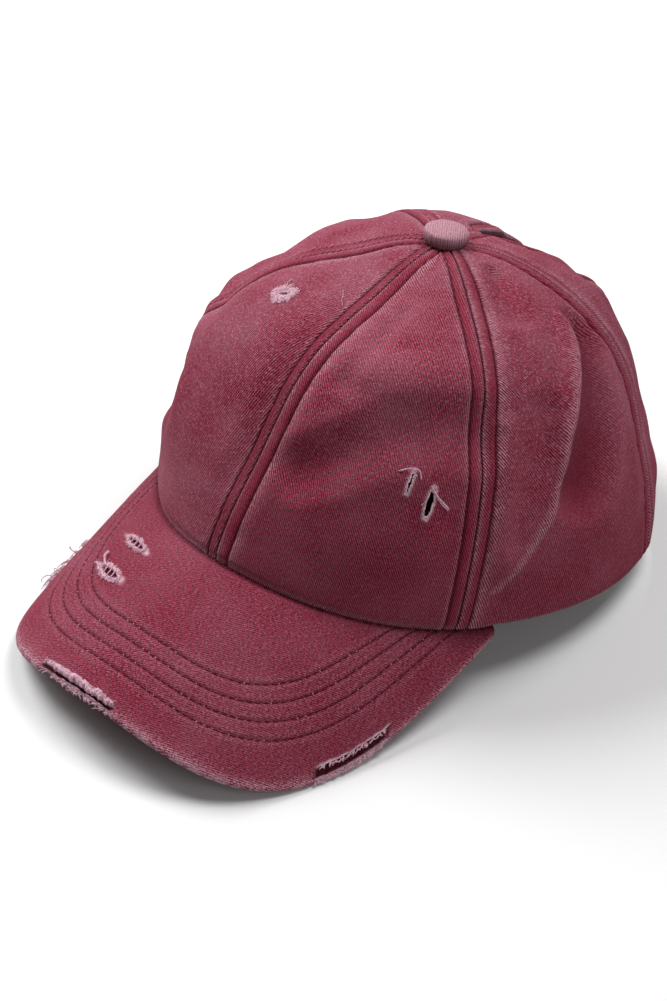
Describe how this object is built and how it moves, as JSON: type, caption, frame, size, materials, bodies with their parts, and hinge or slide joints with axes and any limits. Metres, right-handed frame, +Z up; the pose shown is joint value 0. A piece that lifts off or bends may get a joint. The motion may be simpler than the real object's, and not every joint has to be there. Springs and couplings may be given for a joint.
{
  "type": "ponytail baseball cap",
  "caption": "Six-panel baseball cap of washed cotton twill with a curved stitched brim, a covered top button, worn tears and a ponytail slit over a plain back strap.",
  "frame": {"origin": "middle of the cap's footprint, on the surface that it lies on", "axes": "-Y to the front, over the brim; +X to the wearer's left; +Z up"},
  "size_m": [0.1732, 0.2442, 0.1224],
  "materials": {
    "crown_twill": "washed burgundy cotton twill, matt, with paler worn seams",
    "brim_twill": "washed burgundy cotton twill over a stiff board, worn pale at its edge",
    "button_twill": "the same twill rubbed to a pale pink",
    "strap_twill": "burgundy cotton twill, folded and edge-stitched",
    "band_cotton": "plain burgundy cotton, matt",
    "stitching_thread": "dark red sewing thread, slightly glossy",
    "frayed_cotton": "pale pink loose cotton yarn"
  },
  "bodies": {
    "root": {"panel_front_left": "crown_twill", "panel_side_left": "crown_twill", "panel_back_left": "crown_twill", "panel_back_right": "crown_twill", "panel_side_right": "crown_twill", "panel_front_right": "crown_twill", "crown_button": "button_twill", "brim": "brim_twill", "closure_strap": "strap_twill", "sweatband": "band_cotton"}
  },
  "joints": []
}
